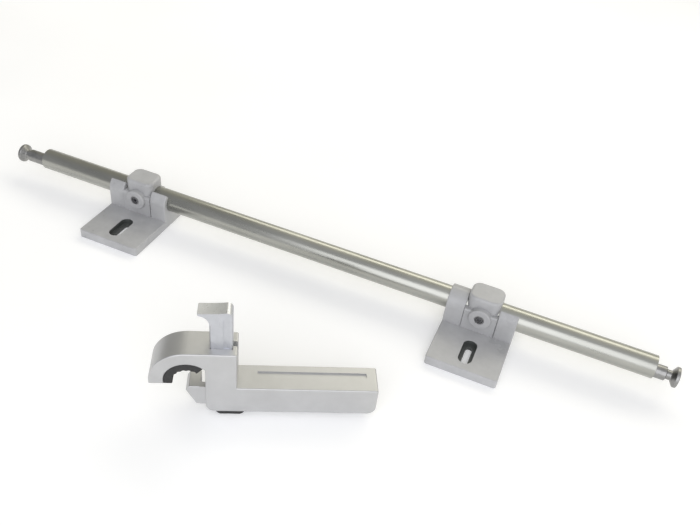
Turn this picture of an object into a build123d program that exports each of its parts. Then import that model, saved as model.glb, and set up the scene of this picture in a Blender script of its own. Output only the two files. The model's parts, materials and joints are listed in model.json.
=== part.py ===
from build123d import *
import os
from math import atan2, cos, degrees, hypot, radians, sin, sqrt

# Door security bar: a tube carried by two slotted brackets, with a twist-locked rod telescoping out of
# each end, and the loose lock clamp that hooks round the tube.
# Millimetres. X runs along the bar, -Y is the side of the slotted plates, Z is up from the surface that
# the plates are screwed to. Everything is laid out about the tube's axis, and moved at the end so that
# the origin is the middle of the whole footprint.

# ---------------------------------------------------------------- driving dimensions
axis_height = 30.6

tube_length = 750.0
tube_radius = 12.5
tube_wall = 1.0
tube_end_chamfer = 0.3

rod_radius = 7.5
rod_drop = 3.9
rod_chamfer = 0.6
rod_engagement = 110.0
left_exposure = 27.0
right_exposure = 12.0
stem_radius = 4.0
stem_length = 15.0
stem_thread_radius = 2.5
stem_overlap = 1.0
stem_hole_depth = 12.0

head_radius = 11.0
neck_radius = 5.2
neck_length = 5.0
spigot_radius = 3.2
spigot_length = 10.0
head_cone_length = 4.0
head_rim_length = 3.0
head_dome_height = 2.0

cam_length = 14.0
cam_end_gap = 0.5
washer_radius = 6.5
washer_thickness = 1.2
washer_clearance = 0.2
cam_screw_reach = 10.0
cam_screw_head_radius = 4.6
cam_screw_head_height = 3.0
cam_screw_dome = 1.2
driver_slot = 1.2
running_gap = 0.05

left_bracket_x = -233.4
right_bracket_x = 193.7
bracket_width = 77.0
plate_front = -78.0
plate_back = 22.0
plate_thickness = 10.5
plate_corner = 3.0
plate_edge = 1.2
slot_width = 15.0
slot_front = -69.0
slot_back = -33.0
slot_ledge = 4.5
screw_slot_width = 7.0
cradle_front = -17.5
cradle_back = 15.0
cradle_back_rise = 3.5
cradle_bore = 12.6
cradle_wrap = 50.0
cradle_edge = 1.0

cap_width = 36.0
cap_gap = 0.3
cap_top = 22.0
cap_shoulder = 6.0
cap_shoulder_edge = 2.0
cap_front = -18.0
cap_head_half_width = 18.0
cap_head_half_depth = 14.5
cap_head_corner = 9.0
cap_head_edge = 3.0
boss_edge = 1.2
boss_radius = 12.0
boss_front = -21.5
cap_screw_x = 11.0
cap_screw_y = 9.0
cap_screw_radius = 2.0
cap_screw_reach = 7.5
cap_screw_head_radius = 4.0
cap_screw_head_height = 2.4
cap_screw_sink = 0.6
cap_screw_clearance = 0.15
cap_screw_head_clearance = 0.3
cap_screw_socket = 2.5
cap_screw_socket_depth = 1.6

insert_radius = 5.5
clamp_screw_radius = 3.95
clamp_screw_length = 5.45
pressure_pad_radius = 4.5
pressure_pad_back = -15.4
pad_travel = 1.1
pad_back_room = 0.1
insert_back = pressure_pad_back - pad_travel - pad_back_room
socket_width = 4.0
socket_depth = 3.0
clamp_screw_chamfer = 0.6

clamp_yaw = 26.0
clamp_x = -28.0
clamp_y = -231.0
clamp_half_depth = 15.0
hook_height = 46.0
hook_outer = 34.0
hook_inner = 21.0
hook_tip = 42.0
liner_bore = 12.6
liner_end_angle = 48.0
liner_inset = 0.5
block_left = 16.0
block_right = 44.0
block_top = 80.0
arm_end = 174.0
arm_bottom = 5.0
arm_top = 37.0
arm_corner = 8.0
arm_top_corner = 2.0
block_corner = 1.5
casting_edge = 1.2
side_slot_half_width = 3.0
side_slot_bottom = 38.0
arm_groove_left = 62.0
arm_groove_right = 164.0
arm_groove_front = 2.0
arm_groove_back = 7.0
arm_groove_depth = 1.5
pin_hole_room = 1.0
plug_radius = 5.0
spring_x = 30.0
slider_left = 20.0
slider_right = 40.0
slider_half_depth = 7.0
slider_bottom = 25.5
slider_top = 123.0
slider_gap = 0.1
slider_edge = 1.4
slider_groove_x = 32.0
slider_groove_width = 5.0
slider_groove_depth = 1.0
lip_reach = 10.0
lip_height = 15.0
press_travel = 12.0
jaw_travel = 9.0
jaw_half_depth = 10.0
jaw_bottom = 10.0
jaw_top = 33.3
jaw_nose = -2.4
jaw_tail_end = 34.0
jaw_pin_x = 25.0
jaw_pin_z = 30.0
jaw_pin_radius = 2.0
jaw_edge = 0.8
jaw_tail_side = -4.0
jaw_nose_height = 5.0
jaw_nose_bevel = 3.0
jaw_nose_slope = 9.0
jaw_nose_back = 10.5
jaw_overlap = 0.5
jaw_back_room = 1.0
spring_seat = 7.0
spring_wire = 0.5
spring_radius = 3.6
spring_turns = 6
spring_y = 1.4
foot_left = 24.5
foot_right = 51.0
foot_half_depth = 14.0
foot_corner = 5.0
foot_edge = 0.8


# ---------------------------------------------------------------- small helpers
def disc_x(radius, start, end, height=axis_height):
    """A round bar along X at y = 0, from start to end."""
    return Pos(start, 0, height) * Rot(0, 90, 0) * Cylinder(
        radius, end - start, align=(Align.CENTER, Align.CENTER, Align.MIN)
    )


def disc_y(radius, x, z, start, end):
    """A round bar along Y from y = start to y = end."""
    return Pos(x, start, z) * Rot(-90, 0, 0) * Cylinder(
        radius, end - start, align=(Align.CENTER, Align.CENTER, Align.MIN)
    )


def disc_z(radius, x, y, bottom, top):
    """A round bar along Z from z = bottom to z = top."""
    return Pos(x, y, bottom) * Cylinder(
        radius, top - bottom, align=(Align.CENTER, Align.CENTER, Align.MIN)
    )


def block(x_range, y_range, z_range):
    """A box given by its limits."""
    size = [high - low for low, high in (x_range, y_range, z_range)]
    return Pos(x_range[0], y_range[0], z_range[0]) * Box(
        *size, align=(Align.MIN, Align.MIN, Align.MIN)
    )


def along_y(outline, start, end):
    """Extrudes an outline drawn in the XZ plane from y = start to y = end."""
    return Pos(0, start, 0) * extrude(outline, end - start, dir=(0, 1, 0))


def top_right_edge(piece):
    """The highest edge along Y that lies furthest to the right."""
    return piece.edges().filter_by(Axis.Y).group_by(Axis.Z)[-1].sort_by(Axis.X)[-1]


def face_rims(piece, half_depth):
    """The edges of the front and back faces, which lie half_depth from the middle plane."""
    flat = piece.edges().filter_by(Plane.XZ)
    return [edge for edge in flat if abs(abs(edge.center().Y) - half_depth) < 0.01]


def hex_socket(width, depth):
    """A hexagonal recess pointing up from z = 0."""
    return extrude(RegularPolygon(width / sqrt(3), 6), depth)


# ---------------------------------------------------------------- the bar
def outer_tube():
    half = tube_length / 2
    tube = disc_x(tube_radius, -half, half) - disc_x(tube_radius - tube_wall, -half, half)
    rims = tube.edges().filter_by(GeomType.CIRCLE)
    return chamfer(rims, tube_end_chamfer)


def inner_rod(exposure):
    """A solid rod for the +X end: shoulder outside the tube, thin stem inside it."""
    shoulder = tube_length / 2 + exposure
    inner = tube_length / 2 - rod_engagement
    height = axis_height - rod_drop
    bar = disc_x(rod_radius, inner, shoulder, height)
    bar = chamfer(bar.edges().filter_by(GeomType.CIRCLE), rod_chamfer)
    bar += disc_x(stem_radius, inner - stem_length, inner + stem_overlap, height)
    hole_end = inner - stem_length + stem_hole_depth
    bar -= disc_x(stem_thread_radius, inner - stem_length, hole_end, height)
    return bar - disc_x(spigot_radius, shoulder - spigot_length, shoulder, height)


def rod_head(exposure):
    """Button head turned in one piece with its neck and the spigot fixed in the rod."""
    shoulder = tube_length / 2 + exposure
    start = shoulder - spigot_length
    cone = shoulder + neck_length
    rim = cone + head_cone_length
    crown = rim + head_rim_length
    tip = crown + head_dome_height
    dome_radius = (head_radius**2 + head_dome_height**2) / (2 * head_dome_height)
    half_way = tip - dome_radius + sqrt(dome_radius**2 - (head_radius / 2) ** 2)
    outline = [
        Polyline(
            (start, 0, 0), (start, 0, spigot_radius), (shoulder, 0, spigot_radius),
            (shoulder, 0, neck_radius), (cone, 0, neck_radius), (rim, 0, head_radius),
            (crown, 0, head_radius),
        ),
        ThreePointArc((crown, 0, head_radius), (half_way, 0, head_radius / 2), (tip, 0, 0)),
        Line((tip, 0, 0), (start, 0, 0)),
    ]
    return Pos(0, 0, axis_height - rod_drop) * revolve(make_face(outline), Axis.X)


def cam_place():
    """The cam's two faces on the stem, for the +X end."""
    outer = tube_length / 2 - rod_engagement - cam_end_gap
    return outer - cam_length, outer


def cam():
    """Eccentric ring: its outside fills the tube, its bore lies on the rod's lower axis."""
    start, end = cam_place()
    ring = disc_x(tube_radius - tube_wall - running_gap, start, end)
    return ring - disc_x(stem_radius + running_gap, start, end, axis_height - rod_drop)


def cam_washer():
    stem_end = tube_length / 2 - rod_engagement - stem_length
    height = axis_height - rod_drop
    face = stem_end - washer_thickness
    washer = disc_x(washer_radius, face, stem_end, height)
    return washer - disc_x(stem_thread_radius + washer_clearance, face, stem_end, height)


def cam_screw():
    """Pan-head screw that holds the washer on the stem."""
    stem_end = tube_length / 2 - rod_engagement - stem_length
    height = axis_height - rod_drop
    under_head = stem_end - washer_thickness
    crown = under_head - cam_screw_head_height
    screw = disc_x(stem_thread_radius, under_head, stem_end + cam_screw_reach, height)
    head = disc_x(cam_screw_head_radius, crown, under_head, height)
    head = fillet(head.edges().filter_by(GeomType.CIRCLE).sort_by(Axis.X)[0], cam_screw_dome)
    slot = block(
        (crown, crown + driver_slot),
        (-cam_screw_head_radius, cam_screw_head_radius),
        (height - driver_slot / 2, height + driver_slot / 2),
    )
    return screw + head - slot


# ---------------------------------------------------------------- a bracket, about its own centre line
def bracket_base(left_wall):
    """Slotted plate with an end wall at each side that the tube passes through."""
    half = bracket_width / 2
    plate = block((-half, half), (plate_front, plate_back), (0, plate_thickness))
    plate = fillet(plate.edges().filter_by(Axis.Z), plate_corner)
    plate = fillet(plate.faces().sort_by(Axis.Z)[-1].edges(), plate_edge)
    plate -= plate_slot(slot_width, slot_ledge, plate_thickness)
    plate -= plate_slot(screw_slot_width, 0, plate_thickness)
    cheek_inner = cap_width / 2 + cap_gap
    plate += left_wall(-half, -cheek_inner)
    plate += open_cheek(cheek_inner, half)
    head_top = cap_screw_sink + cap_screw_head_height
    for x in (-cap_screw_x, cap_screw_x):
        for y in (-cap_screw_y, cap_screw_y):
            plate -= disc_z(cap_screw_radius + cap_screw_clearance, x, y, 0, plate_thickness)
            plate -= disc_z(cap_screw_head_radius + cap_screw_head_clearance, x, y, 0, head_top)
    return plate


def plate_slot(width, bottom, top):
    """Round-ended slot along Y of the given width, as deep inside the recess all round as it is narrower."""
    inset = (slot_width - width) / 2
    length = slot_back - slot_front - 2 * inset
    middle = Pos(0, (slot_front + slot_back) / 2, bottom)
    return extrude(middle * SlotOverall(length, width, rotation=90), top - bottom)


def closed_cheek(start, end):
    """End wall that goes all the way round the tube."""
    wall = block((start, end), (cradle_front, cradle_back), (plate_thickness - 1, axis_height))
    radius = (cradle_back - cradle_front) / 2
    middle = (cradle_back + cradle_front) / 2
    wall += Pos(0, middle, 0) * disc_x(radius, start, end)
    wall = fillet(rims_above_plate(wall), cradle_edge)
    return wall - disc_x(cradle_bore, start, end)


def open_cheek(start, end):
    """End wall with a lip over the front of the tube, low behind it, so the tube's top is clear."""
    wrap = radians(cradle_wrap)
    radius = -cradle_front
    lip = (-radius * cos(wrap), axis_height + radius * sin(wrap))
    half_way = (-radius * cos(wrap / 2), axis_height + radius * sin(wrap / 2))
    back_top = axis_height + cradle_back_rise
    with BuildPart() as cheek:
        with BuildSketch(Plane.YZ.offset(start)):
            with BuildLine():
                Line(lip, (0, axis_height))
                Polyline(
                    (0, axis_height), (0, back_top), (cradle_back, back_top),
                    (cradle_back, plate_thickness - 1), (cradle_front, plate_thickness - 1),
                    (cradle_front, axis_height),
                )
                ThreePointArc((cradle_front, axis_height), half_way, lip)
            make_face()
        extrude(amount=end - start)
    wall = fillet(rims_above_plate(cheek.part), cradle_edge)
    return wall - disc_x(cradle_bore, start, end)


def rims_above_plate(wall):
    """The outer edges of an end wall's two side faces, where they stand clear of the plate."""
    rims = wall.edges().filter_by(Plane.YZ)
    clear = [edge for edge in rims if edge.center().Z > plate_thickness]
    return [edge for edge in clear if hypot(edge.center().Y, edge.center().Z - axis_height) > cradle_bore]


def clamp_cap():
    """Block between the end walls, with a rounded head above the tube and the screw boss on its front."""
    half = cap_width / 2
    top = axis_height + cap_top
    shoulder = axis_height + cap_shoulder
    lower = block((-half, half), (cap_front, cradle_back), (plate_thickness, shoulder))
    cap = fillet(lower.edges().filter_by(Axis.X).group_by(Axis.Z)[-1], cap_shoulder_edge)
    plan = RectangleRounded(2 * cap_head_half_width, 2 * cap_head_half_depth, cap_head_corner)
    head = Pos(0, 0, plate_thickness) * extrude(plan, top - plate_thickness)
    head = fillet(head.faces().sort_by(Axis.Z)[-1].edges(), cap_head_edge)
    boss = disc_y(boss_radius, 0, axis_height, boss_front, 0)
    boss = fillet(boss.edges().filter_by(GeomType.CIRCLE).sort_by(Axis.Y)[0], boss_edge)
    cap = cap + head + boss
    cap -= disc_x(cradle_bore, -half, half)
    cap -= disc_y(insert_radius, 0, axis_height, boss_front, insert_back)
    cap -= disc_y(pressure_pad_radius + running_gap, 0, axis_height, insert_back, 0)
    for x in (-cap_screw_x, cap_screw_x):
        for y in (-cap_screw_y, cap_screw_y):
            cap -= disc_z(cap_screw_radius, x, y, plate_thickness, plate_thickness + cap_screw_reach)
    return cap


def cap_screws():
    """Four screws from under the plate, with their heads sunk in it."""
    screws = []
    head_top = cap_screw_sink + cap_screw_head_height
    for x in (-cap_screw_x, cap_screw_x):
        for y in (-cap_screw_y, cap_screw_y):
            screw = disc_z(cap_screw_radius, x, y, head_top, plate_thickness + cap_screw_reach)
            screw += disc_z(cap_screw_head_radius, x, y, cap_screw_sink, head_top)
            socket = Pos(x, y, cap_screw_sink) * hex_socket(cap_screw_socket, cap_screw_socket_depth)
            screws.append(screw - socket)
    return Compound(children=screws)


def screw_insert():
    """Threaded bush in the boss."""
    insert = disc_y(insert_radius, 0, axis_height, boss_front, insert_back)
    return insert - disc_y(clamp_screw_radius + running_gap, 0, axis_height, boss_front, insert_back)


def clamp_screw():
    """Socket set screw, pointing at the tube."""
    end = pressure_pad_back - running_gap
    start = end - clamp_screw_length
    screw = disc_y(clamp_screw_radius, 0, axis_height, start, end)
    screw = chamfer(screw.edges().filter_by(GeomType.CIRCLE), clamp_screw_chamfer)
    socket = Pos(0, start, axis_height) * Rot(-90, 0, 0) * hex_socket(socket_width, socket_depth)
    return screw - socket


def pressure_pad():
    """Round pad between the screw and the tube, hollowed to the tube's radius."""
    pad = disc_y(pressure_pad_radius, 0, axis_height, pressure_pad_back, -tube_radius / 2)
    return pad - disc_x(tube_radius + running_gap, -cap_width / 2, cap_width / 2)


# ---------------------------------------------------------------- the lock clamp, about its hook's centre
def xz_point(radius, angle):
    """A point on a circle about the hook's centre, in the clamp's XZ plane."""
    turn = radians(angle)
    return (radius * cos(turn), 0, hook_height + radius * sin(turn))


def hook_outline():
    """Half-round hook open below, running into the block's left wall."""
    inner_end = sqrt(hook_inner**2 - block_left**2)
    edges = [
        Line((block_left, 0, hook_height + hook_outer), (0, 0, hook_height + hook_outer)),
        ThreePointArc(xz_point(hook_outer, 90), xz_point(hook_outer, 135), xz_point(hook_outer, 180)),
        Polyline(
            (-hook_outer, 0, hook_height), (-hook_outer, 0, hook_tip),
            (-hook_inner, 0, hook_tip), (-hook_inner, 0, hook_height),
        ),
        ThreePointArc(
            (-hook_inner, 0, hook_height), xz_point(hook_inner, 100),
            (block_left, 0, hook_height + inner_end),
        ),
        Line(
            (block_left, 0, hook_height + inner_end), (block_left, 0, hook_height + hook_outer)
        ),
    ]
    return make_face(edges)


def clamp_casting():
    """The hook, the upright block and the long arm in one piece, with softened edges."""
    deep = clamp_half_depth
    arm = block((block_left, arm_end), (-deep, deep), (arm_bottom, arm_top))
    arm = fillet(arm.edges().filter_by(Axis.Y).group_by(Axis.Z)[0], arm_corner)
    arm = fillet(top_right_edge(arm), arm_top_corner)
    upright = block((block_left, block_right), (-deep, deep), (arm_bottom + arm_corner, block_top))
    upright = fillet(top_right_edge(upright), block_corner)
    casting = arm + upright + along_y(hook_outline(), -deep, deep)
    return fillet(face_rims(casting, deep), casting_edge)


def clamp_body():
    """The casting with the slider's channel, the jaw's space and the side slot cut in it."""
    deep = clamp_half_depth
    body = clamp_casting()
    body -= block(
        (slider_left - slider_gap, slider_right + slider_gap),
        (-slider_half_depth - slider_gap, slider_half_depth + slider_gap),
        (spring_seat, block_top),
    )
    jaw_space = jaw_half_depth + slider_gap
    body -= block(
        (block_left, jaw_tail_end + jaw_travel + jaw_back_room),
        (-jaw_space, jaw_space),
        (jaw_bottom - slider_gap, jaw_top + slider_gap),
    )
    body -= block(
        (slider_right, block_right),
        (-side_slot_half_width, side_slot_half_width),
        (side_slot_bottom, block_top),
    )
    body -= disc_y(jaw_pin_radius + pin_hole_room, jaw_pin_x, jaw_pin_z, jaw_half_depth, deep)
    body -= disc_z(plug_radius, spring_x, 0, arm_bottom, spring_seat)
    return body - block(
        (arm_groove_left, arm_groove_right),
        (arm_groove_front, arm_groove_back),
        (arm_top - arm_groove_depth, arm_top),
    )


def hook_liner():
    """Thick soft lining of the hook, bored to the tube."""
    outer_end = xz_point(hook_inner, liner_end_angle)
    inner_end = xz_point(liner_bore, liner_end_angle)
    middle = (180 + liner_end_angle) / 2
    edges = [
        ThreePointArc(outer_end, xz_point(hook_inner, middle), (-hook_inner, 0, hook_height)),
        Polyline(
            (-hook_inner, 0, hook_height), (-hook_inner, 0, hook_tip + liner_inset),
            (-liner_bore, 0, hook_tip + liner_inset), (-liner_bore, 0, hook_height),
        ),
        ThreePointArc((-liner_bore, 0, hook_height), xz_point(liner_bore, middle), inner_end),
        Line(inner_end, outer_end),
    ]
    half_depth = clamp_half_depth - liner_inset
    return along_y(make_face(edges), -half_depth, half_depth)


def rounded_column(left, bottom):
    """The space of the slider from left to its right side, with rounded upright edges."""
    column = block((left, slider_right), (-slider_half_depth, slider_half_depth), (bottom, slider_top))
    return fillet(column.edges().filter_by(Axis.Z), slider_edge)


def thumb_slider():
    """Vertical slide with a thumb lip on top and the sloping slot that drives the jaw."""
    lip_tip = slider_left - lip_reach
    edges = [
        Polyline(
            (slider_left, 0, slider_top - lip_height), (slider_left, 0, slider_bottom),
            (slider_right, 0, slider_bottom), (slider_right, 0, slider_top - 5),
        ),
        ThreePointArc(
            (slider_right, 0, slider_top - 5), (slider_right - 1.5, 0, slider_top - 1.5),
            (slider_right - 5, 0, slider_top),
        ),
        ThreePointArc(
            (slider_right - 5, 0, slider_top), (slider_left + 3, 0, slider_top - 1.2),
            (lip_tip, 0, slider_top - 1.5),
        ),
        Line((lip_tip, 0, slider_top - 1.5), (lip_tip, 0, slider_top - 4)),
        ThreePointArc(
            (lip_tip, 0, slider_top - 4), (slider_left - 2.6, 0, slider_top - 7.6),
            (slider_left, 0, slider_top - lip_height),
        ),
    ]
    slider = along_y(make_face(edges), -slider_half_depth, slider_half_depth)
    slider &= rounded_column(slider_left, slider_bottom) + rounded_column(lip_tip, slider_top - lip_height)
    slider -= block(
        (slider_groove_x, slider_groove_x + slider_groove_width),
        (-slider_half_depth, -slider_half_depth + slider_groove_depth),
        (block_top, slider_top - 8),
    )
    slider -= block(
        (slider_left, slider_right),
        (-slider_half_depth, jaw_tail_side + slider_gap),
        (slider_bottom, jaw_top + press_travel + 1),
    )
    cam_slot = SlotCenterToCenter(
        hypot(jaw_travel, press_travel),
        2 * (jaw_pin_radius + slider_gap),
        rotation=degrees(atan2(press_travel, jaw_travel)),
    )
    middle = Pos(jaw_pin_x + jaw_travel / 2, jaw_pin_z + press_travel / 2)
    slot = extrude(Plane.XZ * middle * cam_slot, slider_half_depth, both=True)
    return slider - slot


def jaw():
    """Wedge that closes the hook's mouth, with a flat tail that reaches the slider's slot."""
    nose = make_face(
        Polyline(
            (jaw_nose, 0, jaw_top - jaw_nose_height), (jaw_nose + jaw_nose_bevel, 0, jaw_top),
            (jaw_nose_back, 0, jaw_top), (jaw_nose_back, 0, jaw_bottom),
            (jaw_nose + jaw_nose_slope, 0, jaw_bottom), close=True,
        )
    )
    piece = along_y(nose, -jaw_half_depth, jaw_half_depth)
    front = [edge for edge in piece.edges() if edge.center().X < jaw_nose_back - 0.1]
    piece = fillet(front, jaw_edge)
    piece += block(
        (jaw_nose_back - jaw_overlap, jaw_tail_end),
        (-jaw_half_depth, jaw_tail_side),
        (jaw_bottom, jaw_top),
    )
    return piece - disc_y(jaw_pin_radius, jaw_pin_x, jaw_pin_z, -jaw_half_depth, jaw_tail_side)


def jaw_pin():
    return disc_y(jaw_pin_radius, jaw_pin_x, jaw_pin_z, -jaw_half_depth + 0.5, slider_half_depth - 1)


def slider_spring():
    """Compression spring between the foot's plug and the slider."""
    height = slider_bottom - spring_seat - 2 * spring_wire - 0.2
    path = Helix(height / spring_turns, height, spring_radius)
    section = Plane(origin=path @ 0, z_dir=path % 0) * Circle(spring_wire)
    return Pos(spring_x, spring_y, spring_seat + spring_wire + 0.1) * sweep(section, path)


def rubber_foot():
    """Pad under the block, with the plug that carries the spring."""
    foot = block((foot_left, foot_right), (-foot_half_depth, foot_half_depth), (0, arm_bottom))
    foot = fillet(foot.edges().filter_by(Axis.Z), foot_corner)
    foot = chamfer(foot.faces().sort_by(Axis.Z)[0].edges(), foot_edge)
    return foot + disc_z(plug_radius, spring_x, 0, arm_bottom, spring_seat)


def place_clamp(piece):
    return Pos(clamp_x, clamp_y, 0) * Rot(0, 0, clamp_yaw) * piece


# ---------------------------------------------------------------- all pieces in place
def bar_pieces():
    pieces = {"outer_tube": outer_tube()}
    for side, exposure in (("right", right_exposure), ("left", left_exposure)):
        end = {
            "inner_rod": inner_rod(exposure),
            "rod_head": rod_head(exposure),
            "cam": cam(),
            "cam_washer": cam_washer(),
            "cam_screw": cam_screw(),
        }
        for name, piece in end.items():
            pieces[f"{side}_{name}"] = piece if side == "right" else mirror(piece, Plane.YZ)
    return pieces


def bracket_pieces():
    makers = {
        "clamp_cap": clamp_cap,
        "cap_screws": cap_screws,
        "screw_insert": screw_insert,
        "clamp_screw": clamp_screw,
        "pressure_pad": pressure_pad,
    }
    pieces = {}
    for side, x, left_wall in (
        ("left", left_bracket_x, open_cheek),
        ("right", right_bracket_x, closed_cheek),
    ):
        pieces[f"{side}_bracket_base"] = Pos(x, 0, 0) * bracket_base(left_wall)
        for name, maker in makers.items():
            pieces[f"{side}_{name}"] = Pos(x, 0, 0) * maker()
    return pieces


def clamp_pieces():
    makers = {
        "lock_clamp_body": clamp_body,
        "hook_liner": hook_liner,
        "thumb_slider": thumb_slider,
        "wedge_jaw": jaw,
        "jaw_pin": jaw_pin,
        "slider_spring": slider_spring,
        "rubber_foot": rubber_foot,
    }
    return {name: place_clamp(maker()) for name, maker in makers.items()}


def main():
    pieces = {**bar_pieces(), **bracket_pieces(), **clamp_pieces()}
    footprint = Compound(children=[piece.moved(Location()) for piece in pieces.values()]).bounding_box()
    middle = footprint.center()
    to_origin = Pos(-middle.X, -middle.Y, 0)
    os.makedirs("parts", exist_ok=True)
    for name, piece in pieces.items():
        export_step(to_origin * piece, f"parts/{name}.step")
    print("origin shift", round(-middle.X, 3), round(-middle.Y, 3))


main()
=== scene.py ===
import json
from math import cos, pi, radians, sin

import bmesh
import bpy
from mathutils import Matrix, Vector


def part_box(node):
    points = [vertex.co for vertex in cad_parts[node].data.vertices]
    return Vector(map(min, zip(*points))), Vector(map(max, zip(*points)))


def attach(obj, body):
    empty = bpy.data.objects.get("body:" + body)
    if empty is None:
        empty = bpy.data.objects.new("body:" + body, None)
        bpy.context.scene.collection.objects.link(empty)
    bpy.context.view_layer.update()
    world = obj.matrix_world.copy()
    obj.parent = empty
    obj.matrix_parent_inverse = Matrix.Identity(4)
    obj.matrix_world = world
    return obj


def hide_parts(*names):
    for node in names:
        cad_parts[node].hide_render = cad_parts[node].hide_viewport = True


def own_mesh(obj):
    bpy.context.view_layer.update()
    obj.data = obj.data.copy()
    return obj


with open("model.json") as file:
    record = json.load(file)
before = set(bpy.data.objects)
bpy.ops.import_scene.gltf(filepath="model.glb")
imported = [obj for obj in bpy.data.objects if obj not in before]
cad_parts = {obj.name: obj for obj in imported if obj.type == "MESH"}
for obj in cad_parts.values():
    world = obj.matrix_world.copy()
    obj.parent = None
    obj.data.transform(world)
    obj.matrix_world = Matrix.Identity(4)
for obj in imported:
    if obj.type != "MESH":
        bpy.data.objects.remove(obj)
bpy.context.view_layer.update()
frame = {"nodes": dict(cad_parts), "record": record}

nodes = frame["nodes"]
record = frame["record"]
scene = bpy.context.scene
MM = 0.001
UP = Vector((0, 0, 1))


# ---------------------------------------------------------------- reference points taken from the frame
def centre(node):
    low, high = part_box(node)
    return (low + high) / 2


tube_low, tube_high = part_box("outer_tube")
tube_axis = centre("outer_tube")
tube_radius = (tube_high.z - tube_low.z) / 2


def named(entries, name):
    """The one entry of a list of the frame's that has this name."""
    return next(entry for entry in entries if entry["name"] == name)


# ---------------------------------------------------------------- material helpers
# Sockets of a Mix node that blends colours.
MIX_FACTOR, MIX_FIRST, MIX_SECOND, MIX_RESULT = 0, 6, 7, 2


def new_material(name):
    material = bpy.data.materials.new(name)
    material.use_nodes = True
    tree = material.node_tree
    return material, tree, tree.nodes["Principled BSDF"]


def add(tree, kind, **values):
    """Adds a node; values name its properties, or its inputs when they start with in_."""
    node = tree.nodes.new(kind)
    for key, value in values.items():
        if key.startswith("in_"):
            node.inputs[key[3:].replace("_", " ")].default_value = value
        else:
            setattr(node, key, value)
    return node


def object_coordinates(tree, scale):
    """Object coordinates, which are metres in the shared frame, stretched by scale on each axis."""
    place = add(tree, "ShaderNodeTexCoord")
    mapping = add(tree, "ShaderNodeMapping")
    mapping.inputs["Scale"].default_value = scale
    tree.links.new(place.outputs["Object"], mapping.inputs["Vector"])
    return mapping.outputs["Vector"]


def noise(tree, scale, detail):
    """Noise of one cell to a unit of the scaled coordinates, so scale is in cells to the metre."""
    texture = add(tree, "ShaderNodeTexNoise", in_Scale=1.0, in_Detail=detail, in_Roughness=0.6)
    tree.links.new(object_coordinates(tree, scale), texture.inputs["Vector"])
    return texture.outputs["Fac"]


def spread(tree, source, low, high, from_low=0.3, from_high=0.7):
    """Maps a value that runs from from_low to from_high, as noise mostly does, onto low to high."""
    node = add(tree, "ShaderNodeMapRange")
    node.inputs["From Min"].default_value = from_low
    node.inputs["From Max"].default_value = from_high
    node.inputs["To Min"].default_value = low
    node.inputs["To Max"].default_value = high
    tree.links.new(source, node.inputs["Value"])
    return node.outputs["Result"]


def two_tone(tree, source, dark, light, from_low=0.3, from_high=0.7):
    """Blends two colours by a value that runs from from_low to from_high."""
    mix = add(tree, "ShaderNodeMix", data_type="RGBA")
    mix.inputs[MIX_FIRST].default_value = (*dark, 1)
    mix.inputs[MIX_SECOND].default_value = (*light, 1)
    tree.links.new(spread(tree, source, 0, 1, from_low, from_high), mix.inputs[MIX_FACTOR])
    return mix.outputs[MIX_RESULT]


def bump(tree, shader, source, height, strength):
    node = add(tree, "ShaderNodeBump", in_Strength=strength, in_Distance=height)
    tree.links.new(source, node.inputs["Height"])
    tree.links.new(node.outputs["Normal"], shader.inputs["Normal"])


def surface(tree, shader, source, dark, light, rough_source, rough):
    """Links a two-tone colour and a range of roughness to the shader."""
    tree.links.new(two_tone(tree, source, dark, light), shader.inputs["Base Color"])
    tree.links.new(spread(tree, rough_source, *rough), shader.inputs["Roughness"])


# ---------------------------------------------------------------- materials
def polished_tube():
    """Bright drawn tube: hairlines along its length, faint handling marks."""
    material, tree, shader = new_material("tube_chrome")
    shader.inputs["Metallic"].default_value = 1.0
    lines = noise(tree, (6, 900, 900), 2.0)
    smears = noise(tree, (9, 60, 60), 4.0)
    surface(tree, shader, smears, (0.36, 0.36, 0.33), (0.46, 0.46, 0.425), smears, (0.24, 0.34))
    bump(tree, shader, lines, 0.01 * MM, 0.6)
    return material


def satin_steel(name, dark, light, stretch, rough=(0.28, 0.42)):
    """Turned or brushed steel, with its grain stretched as given."""
    material, tree, shader = new_material(name)
    shader.inputs["Metallic"].default_value = 1.0
    grain = noise(tree, stretch, 3.0)
    marks = noise(tree, (120, 120, 120), 4.0)
    surface(tree, shader, marks, dark, light, grain, rough)
    bump(tree, shader, grain, 0.02 * MM, 0.5)
    return material


def cam_nylon():
    """The cams' nylon: fine moulded texture, slow tone changes where it cooled, a little translucent."""
    material, tree, shader = new_material("cam_nylon")
    cloud = noise(tree, (45, 45, 45), 3.0)
    fine = noise(tree, (2600, 2600, 2600), 2.0)
    surface(tree, shader, cloud, (0.58, 0.57, 0.52), (0.70, 0.69, 0.64), cloud, (0.4, 0.5))
    shader.inputs["Subsurface Weight"].default_value = 0.1
    shader.inputs["Subsurface Radius"].default_value = (6 * MM, 6 * MM, 6 * MM)
    bump(tree, shader, fine, 0.03 * MM, 0.35)
    return material


def inside_box(tree, low, high, soft):
    """1 inside a box given in the shared frame, falling to 0 over the soft distance outside it."""
    place = add(tree, "ShaderNodeTexCoord")
    split = add(tree, "ShaderNodeSeparateXYZ")
    tree.links.new(place.outputs["Object"], split.inputs[0])
    result = None
    for axis in (0, 1, 2):
        offset = add(tree, "ShaderNodeMath", operation="SUBTRACT")
        tree.links.new(split.outputs[axis], offset.inputs[0])
        offset.inputs[1].default_value = (low[axis] + high[axis]) / 2
        distance = add(tree, "ShaderNodeMath", operation="ABSOLUTE")
        tree.links.new(offset.outputs[0], distance.inputs[0])
        half = (high[axis] - low[axis]) / 2
        inside = spread(tree, distance.outputs[0], 1, 0, half, half + soft)
        if result is None:
            result = inside
        else:
            both = add(tree, "ShaderNodeMath", operation="MULTIPLY")
            tree.links.new(result, both.inputs[0])
            tree.links.new(inside, both.inputs[1])
            result = both.outputs[0]
    return result


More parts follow.
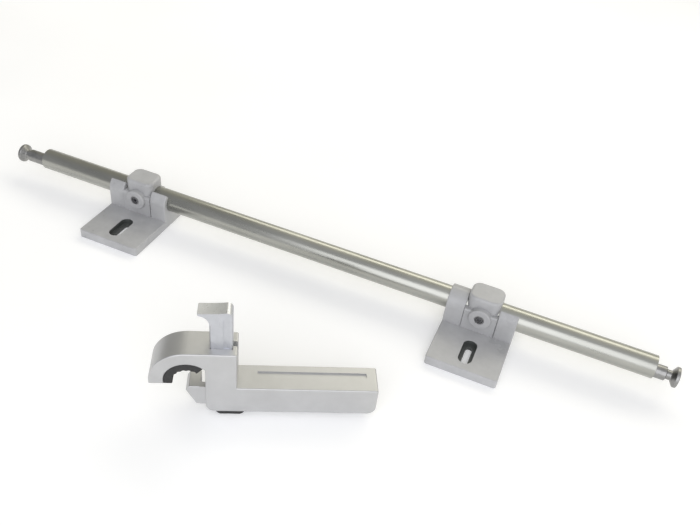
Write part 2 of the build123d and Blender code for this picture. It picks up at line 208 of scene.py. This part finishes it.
def bracket_grey_and_slot_shade():
    """The brackets' grey plastic, with painted shade: near black inside each stepped slot from a little
    below the plate's top.
    """
    material, tree, shader = new_material("bracket_plastic")
    cloud = noise(tree, (45, 45, 45), 3.0)
    fine = noise(tree, (2600, 2600, 2600), 2.0)
    grey = two_tone(tree, cloud, (0.38, 0.38, 0.385), (0.46, 0.46, 0.465))
    side, end, below_top, soft = 5.5 * MM, 8.5 * MM, 3 * MM, 0.3 * MM
    low_room, high_room = Vector((side, end, 0)), Vector((side, end, -below_top))
    # Painted shade mask for each plate slot, from a little below the plate's top downwards.
    slot_shade_masks = []
    for opening in record["physics"]["openings"]:
        if opening["name"].endswith("plate_slot"):
            low, high = (Vector(corner) for corner in opening["box_m"])
            slot_shade_masks.append(inside_box(tree, low - low_room, high + high_room, soft))
    painted_slot_shade = add(tree, "ShaderNodeMath", operation="MAXIMUM")
    tree.links.new(slot_shade_masks[0], painted_slot_shade.inputs[0])
    tree.links.new(slot_shade_masks[1], painted_slot_shade.inputs[1])
    mix = add(tree, "ShaderNodeMix", data_type="RGBA")
    tree.links.new(painted_slot_shade.outputs[0], mix.inputs[MIX_FACTOR])
    tree.links.new(grey, mix.inputs[MIX_FIRST])
    # Painted shade: near-black colour on the slot walls and ledges, standing in for the shadow there.
    mix.inputs[MIX_SECOND].default_value = (0.07, 0.075, 0.072, 1)
    tree.links.new(mix.outputs[MIX_RESULT], shader.inputs["Base Color"])
    tree.links.new(spread(tree, cloud, 0.26, 0.38), shader.inputs["Roughness"])
    bump(tree, shader, fine, 0.03 * MM, 0.35)
    return material


def clamp_alloy():
    """The clamp's satin die-cast alloy: fine blasted grain under a thin sheen."""
    material, tree, shader = new_material("clamp_alloy")
    shader.inputs["Metallic"].default_value = 0.75
    cloud = noise(tree, (30, 30, 30), 4.0)
    grain = noise(tree, (3200, 3200, 3200), 2.0)
    surface(tree, shader, cloud, (0.49, 0.49, 0.49), (0.57, 0.57, 0.57), cloud, (0.34, 0.48))
    bump(tree, shader, grain, 0.04 * MM, 0.4)
    return material


def black_rubber():
    """Dull black rubber with dust in its grain."""
    material, tree, shader = new_material("liner_rubber")
    dust = noise(tree, (300, 300, 300), 5.0)
    grain = noise(tree, (2400, 2400, 2400), 2.0)
    surface(tree, shader, dust, (0.012, 0.012, 0.013), (0.035, 0.034, 0.033), dust, (0.55, 0.75))
    bump(tree, shader, grain, 0.06 * MM, 0.6)
    return material


materials = {
    "tube_chrome": polished_tube(),
    "rod_steel": satin_steel("rod_steel", (0.25, 0.25, 0.245), (0.37, 0.365, 0.355), (20, 900, 900)),
    "bracket_plastic": bracket_grey_and_slot_shade(),
    "screw_steel": satin_steel("screw_steel", (0.22, 0.22, 0.23), (0.34, 0.34, 0.35), (500, 500, 500)),
    "insert_steel": satin_steel("insert_steel", (0.30, 0.30, 0.31), (0.42, 0.42, 0.43), (500, 500, 500)),
    "cam_nylon": cam_nylon(),
    "clamp_alloy": clamp_alloy(),
    "slider_alloy": satin_steel(
        "slider_alloy", (0.53, 0.54, 0.57), (0.58, 0.59, 0.62), (500, 500, 8), (0.26, 0.40)
    ),
    "liner_rubber": black_rubber(),
    "spring_steel": satin_steel("spring_steel", (0.30, 0.30, 0.31), (0.48, 0.48, 0.49), (800, 800, 800)),
}
cad_sharp = radians(28)
for entry in record["subparts"]:
    mesh = nodes[entry["node"]].data
    mesh.materials.clear()
    mesh.materials.append(materials[entry["material_slot"]])
    for face in mesh.polygons:
        face.use_smooth = True
    mesh.set_sharp_from_angle(angle=cad_sharp)


# ---------------------------------------------------------------- detailed pieces
def turned(name, profile, start, direction, closed=False, segments=96):
    """Spins a profile of (distance along, radius) points about the line from start along direction."""
    along = Vector(direction).normalized()
    side = along.orthogonal().normalized()
    up = along.cross(side)
    build = bmesh.new()
    rings = []
    for distance, radius in profile:
        middle = start + along * distance
        if radius == 0:
            rings.append([build.verts.new(middle)])
            continue
        ring = []
        for step in range(segments):
            turn = 2 * pi * step / segments
            ring.append(build.verts.new(middle + radius * (cos(turn) * side + sin(turn) * up)))
        rings.append(ring)
    pairs = list(zip(rings, rings[1:]))
    if closed:
        pairs.append((rings[-1], rings[0]))
    for first, second in pairs:
        for step in range(segments):
            corners = []
            for ring, place in ((first, step), (first, step + 1), (second, step + 1), (second, step)):
                vert = ring[place % len(ring)]
                if vert not in corners:
                    corners.append(vert)
            build.faces.new(corners)
    bmesh.ops.recalc_face_normals(build, faces=build.faces)
    return finished(name, build)


def finished(name, build, sharp=35):
    """Turns a bmesh into a smooth-shaded object with its edges kept crisp past an angle."""
    mesh = bpy.data.meshes.new(name)
    build.to_mesh(mesh)
    build.free()
    for face in mesh.polygons:
        face.use_smooth = True
    mesh.set_sharp_from_angle(angle=radians(sharp))
    piece = bpy.data.objects.new(name, mesh)
    scene.collection.objects.link(piece)
    return piece


def rounded(points, radius):
    """Softens the inner corners of a profile of (distance, radius) points with small arcs."""
    soft = [points[0]]
    for before, corner, after in zip(points, points[1:], points[2:]):
        corner_at = Vector(corner)
        to_before = Vector(before) - corner_at
        to_after = Vector(after) - corner_at
        reach = min(radius, to_before.length * 0.45, to_after.length * 0.45)
        begin = corner_at + to_before.normalized() * reach
        end = corner_at + to_after.normalized() * reach
        for share in (0, 0.2, 0.4, 0.6, 0.8, 1):
            point = begin.lerp(corner_at, share).lerp(corner_at.lerp(end, share), share)
            soft.append((point.x, point.y))
    soft.append(points[-1])
    return soft


def dress(piece, node, material):
    """Puts a detailed piece in place of a CAD node, on that node's body and in its material."""
    piece.data.materials.append(materials[material])
    bodies = record["behaviour"]["bodies"]
    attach(piece, next(body for body, members in bodies.items() if node in members))
    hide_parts(node)


def tube_piece():
    """The drawn tube, with softened edges at both ends."""
    length = tube_high.x - tube_low.x
    wall, lip = 1.0 * MM, 0.35 * MM
    inner = tube_radius - wall
    near = lip * 0.3
    profile = [
        (0, inner + lip), (0, tube_radius - lip), (near, tube_radius - near), (lip, tube_radius),
        (length - lip, tube_radius), (length - near, tube_radius - near),
        (length, tube_radius - lip), (length, inner + lip), (length - lip, inner), (lip, inner),
    ]
    start = Vector((tube_low.x, tube_axis.y, tube_axis.z))
    piece = turned("tube_drawn", profile, start, (1, 0, 0), closed=True, segments=128)
    dress(piece, "outer_tube", "tube_chrome")


def rod_piece(side, direction):
    """The telescoping rod: thin stem inside the tube, then the full bar with chamfered ends."""
    node = f"{side}_inner_rod"
    low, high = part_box(node)
    middle = centre(node)
    radius, length = (high.z - low.z) / 2, high.x - low.x
    stem, stem_length, edge = 4.0 * MM, 15.0 * MM, 0.6 * MM
    profile = [
        (0, 0), (0, stem - edge), (edge, stem), (stem_length, stem), (stem_length, radius - edge),
        (stem_length + edge, radius), (length - edge, radius), (length, radius - edge), (length, 0),
    ]
    inner_end = low.x if direction > 0 else high.x
    start = Vector((inner_end, middle.y, middle.z))
    dress(turned(f"{side}_rod_bar", profile, start, (direction, 0, 0)), node, "rod_steel")


def head_piece(side, direction):
    """The button head: neck, cone, rim and shallow dome with softened corners."""
    node = f"{side}_rod_head"
    low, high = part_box(node)
    middle = centre(node)
    radius, length = (high.z - low.z) / 2, high.x - low.x
    spigot, spigot_length, neck = 3.2 * MM, 10.0 * MM, 5.2 * MM
    neck_end, rim, crown = 15.0 * MM, 19.0 * MM, 22.0 * MM
    dome, softening = length - crown, 0.6 * MM
    corners = [
        (0, 0), (0, spigot), (spigot_length, spigot), (spigot_length, neck), (neck_end, neck),
        (rim, radius), (crown, radius), (crown + dome * 0.25, radius * 0.86),
    ]
    body = rounded(corners, softening)
    top = [(length - dome * share**2, radius * share) for share in (0.75, 0.6, 0.45, 0.3, 0.15, 0.0)]
    inner_end = low.x if direction > 0 else high.x
    start = Vector((inner_end, middle.y, middle.z))
    dress(turned(f"{side}_head_turned", body + top, start, (direction, 0, 0)), node, "rod_steel")


def swept(name, sections):
    """Joins closed rings of points into a tube of faces with flat ends."""
    build = bmesh.new()
    rings = [[build.verts.new(point) for point in section] for section in sections]
    for first, second in zip(rings, rings[1:]):
        for place in range(len(first)):
            after = (place + 1) % len(first)
            build.faces.new((first[place], first[after], second[after], second[place]))
    build.faces.new(rings[0])
    build.faces.new(rings[-1])
    bmesh.ops.recalc_face_normals(build, faces=build.faces)
    return finished(name, build, sharp=50)


def spring_piece():
    """The slider's return spring: closed coils at both ends, open ones between."""
    low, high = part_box("slider_spring")
    middle = centre("slider_spring")
    wire = 0.5 * MM
    radius = (high.x - low.x) / 2 - wire
    dead, active = 0.8, 6.0    # closed turns at each end, open turns between them
    turns = active + 2 * dead
    length = high.z - low.z
    rise = length - 2 * wire
    steps, wire_sides = 280, 12
    sections = []
    for step in range(steps + 1):
        at = turns * step / steps
        share = min(max((at - dead) / active, 0), 1)
        angle = 2 * pi * at
        outward = Vector((cos(angle), sin(angle), 0))
        heart = Vector((middle.x, middle.y, low.z + wire + rise * share)) + radius * outward
        around = [2 * pi * corner / wire_sides for corner in range(wire_sides)]
        sections.append([heart + wire * (cos(turn) * outward + sin(turn) * UP) for turn in around])
    piece = swept("spring_coils", sections)
    dress(piece, "slider_spring", "spring_steel")
    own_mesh(piece)


def liner_stations(first_angle, drop, across, inner):
    """Places round the hook and down its back, each as (shift, outward, arc length as an angle)."""
    arc_steps, straight_steps = 110, 12
    stations = []
    for step in range(arc_steps + 1):
        angle = first_angle + (pi - first_angle) * step / arc_steps
        stations.append((Vector((0, 0, 0)), across * cos(angle) + sin(angle) * UP, angle - first_angle))
    for step in range(1, straight_steps + 1):
        fallen = drop * step / straight_steps
        stations.append((-fallen * UP, -across, pi - first_angle + fallen / inner))
    return stations


def liner_piece():
    """The hook's lining, ribbed along its bore, with softened edges."""
    bore = named(record["mounts"], "hook_bore")
    middle, front, inner = Vector(bore["pos_m"]), Vector(bore["axis"]), bore["dims"]["r_mm"] * MM
    across = Vector((-front.y, front.x, 0))
    low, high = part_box("hook_liner")
    outer, half_depth, soft = high.z - middle.z, 14.5 * MM, 0.8 * MM
    rib, pitch, first_angle, edge_steps = 0.7 * MM, radians(22), radians(48), 4
    sections = []
    for shift, outward, along in liner_stations(first_angle, middle.z - low.z, across, inner):
        near = inner + rib * (0.5 - 0.5 * cos(2 * pi * along / pitch))
        ring = []
        for radius, depth, start in (
            (outer - soft, half_depth - soft, 0), (near + soft, half_depth - soft, 1),
            (near + soft, -half_depth + soft, 2), (outer - soft, -half_depth + soft, 3),
        ):
            for corner in range(edge_steps + 1):
                turn = (start + corner / edge_steps) * pi / 2
                reach = Vector((radius + soft * cos(turn), depth + soft * sin(turn)))
                ring.append(middle + shift + outward * reach.x + front * reach.y)
        sections.append(ring)
    dress(swept("liner_ribbed", sections), "hook_liner", "liner_rubber")


tube_piece()
for side, direction in (("left", -1), ("right", 1)):
    rod_piece(side, direction)
    head_piece(side, direction)
spring_piece()
liner_piece()


# ---------------------------------------------------------------- floor, light and camera
def floor():
    """White paper under the part, faintly clouded, with a glow that keeps it near white."""
    mesh = bpy.data.meshes.new("floor")
    half = 4.0
    corners = [(-half, -half, 0), (half, -half, 0), (half, half, 0), (-half, half, 0)]
    mesh.from_pydata(corners, [], [(0, 1, 2, 3)])
    piece = bpy.data.objects.new("floor", mesh)
    scene.collection.objects.link(piece)
    material, tree, shader = new_material("floor_paper")
    cloud = noise(tree, (3, 3, 3), 2.0)
    paper = two_tone(tree, cloud, (0.86, 0.86, 0.865), (0.90, 0.90, 0.905))
    tree.links.new(paper, shader.inputs["Base Color"])
    shader.inputs["Roughness"].default_value = 0.9
    shader.inputs["Specular IOR Level"].default_value = 0.1
    shader.inputs["Emission Color"].default_value = (1, 1, 1, 1)
    shader.inputs["Emission Strength"].default_value = 0.2
    mesh.materials.append(material)


def softbox(name, place, aim, size, power, colour):
    """A rectangular light at place, turned towards aim."""
    light = bpy.data.lights.new(name, "AREA")
    light.shape = "RECTANGLE"
    light.size, light.size_y = size
    light.energy = power
    light.color = colour
    piece = bpy.data.objects.new(name, light)
    scene.collection.objects.link(piece)
    piece.location = place
    piece.rotation_euler = (Vector(aim) - Vector(place)).to_track_quat("-Z", "Y").to_euler()


def world_light(strength, left_share):
    """Soft light all round: cool in front, warm behind, and falling to a share of itself on the left."""
    world = bpy.data.worlds.new("studio")
    world.use_nodes = True
    tree = world.node_tree
    background = tree.nodes["Background"]
    split = add(tree, "ShaderNodeSeparateXYZ")
    tree.links.new(add(tree, "ShaderNodeTexCoord").outputs["Generated"], split.inputs[0])
    colour = two_tone(tree, split.outputs[1], (0.95, 0.96, 1.0), (1.0, 0.98, 0.86), -0.2, 0.5)
    tree.links.new(colour, background.inputs["Color"])
    level = spread(tree, split.outputs[0], strength * left_share, strength, -0.65, -0.15)
    tree.links.new(level, background.inputs["Strength"])
    scene.world = world


def camera():
    """Stands where the picture was taken from: right of the middle, above, tilted a little."""
    turn, rise, roll = radians(17.77), radians(39.28), radians(-7.516)
    target, distance = tube_axis + Vector((0.0370, -0.0007, 0)), 0.8382
    forward = Vector((-sin(turn) * cos(rise), cos(turn) * cos(rise), -sin(rise)))
    level = Vector((cos(turn), sin(turn), 0))
    down = forward.cross(level)
    right = cos(roll) * level + sin(roll) * down
    upward = sin(roll) * level - cos(roll) * down
    data = bpy.data.cameras.new("camera")
    data.sensor_width = 36.0
    data.lens = 38.3
    data.clip_start = 0.01
    piece = bpy.data.objects.new("camera", data)
    scene.collection.objects.link(piece)
    axes = Matrix((right, upward, -forward)).transposed().to_4x4()
    piece.matrix_world = Matrix.Translation(target - forward * distance) @ axes
    scene.camera = piece


floor()
world_light(0.70, 0.55)
softbox("front", (0.45, -1.3, 0.85), (0.15, 0, 0.03), (2.2, 1.5), 15, (0.96, 0.97, 1.0))
softbox("back", (0.1, 1.3, 1.1), (0, 0, 0), (2.4, 0.6), 9, (1.0, 0.97, 0.86))
camera()
scene.view_settings.view_transform = "Standard"
